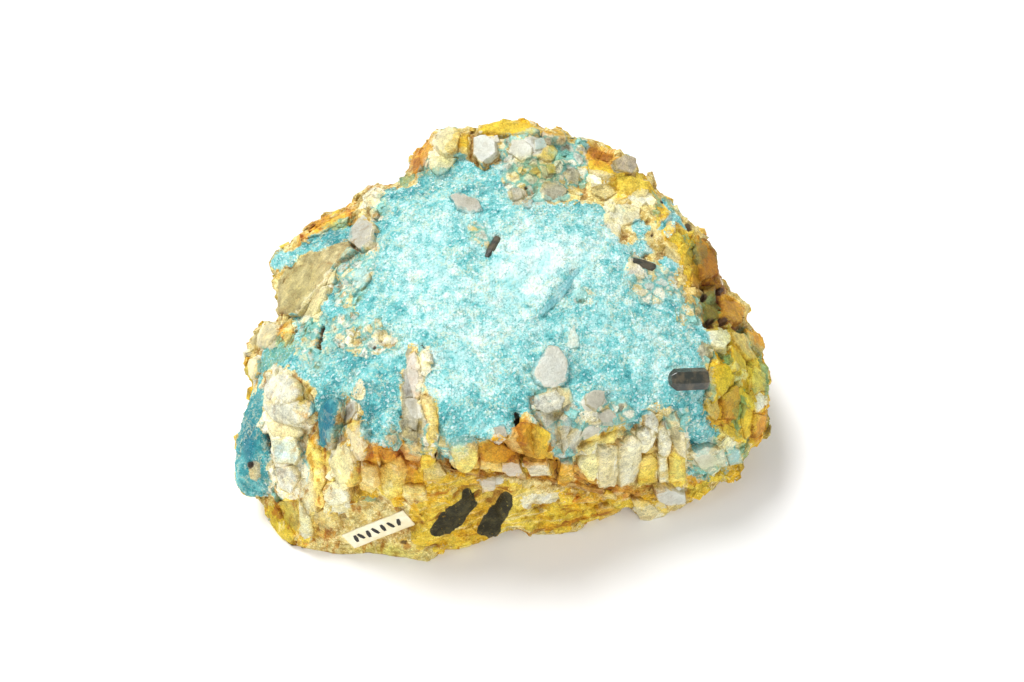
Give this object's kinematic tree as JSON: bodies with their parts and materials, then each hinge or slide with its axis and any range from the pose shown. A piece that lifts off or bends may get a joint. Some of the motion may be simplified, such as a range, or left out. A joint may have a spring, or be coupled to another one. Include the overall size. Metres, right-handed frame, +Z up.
{
  "type": "turquoise specimen",
  "caption": "Rough hand specimen of drusy blue turquoise crust on broken iron-stained quartz, flat underneath, with a small paper label on its front flank.",
  "frame": {"origin": "middle of the bounding box at the level of the flat foot", "axes": "+X along the length, -Y toward the front flank with the label, +Z up from the flat foot"},
  "size_m": [0.074, 0.0582, 0.032],
  "materials": {
    "stone": "rough drusy turquoise crust over broken yellow and white quartz",
    "label": "matte cream paper with plain ink strokes"
  },
  "bodies": {
    "root": {"stone": "stone", "label": "label"}
  },
  "joints": []
}
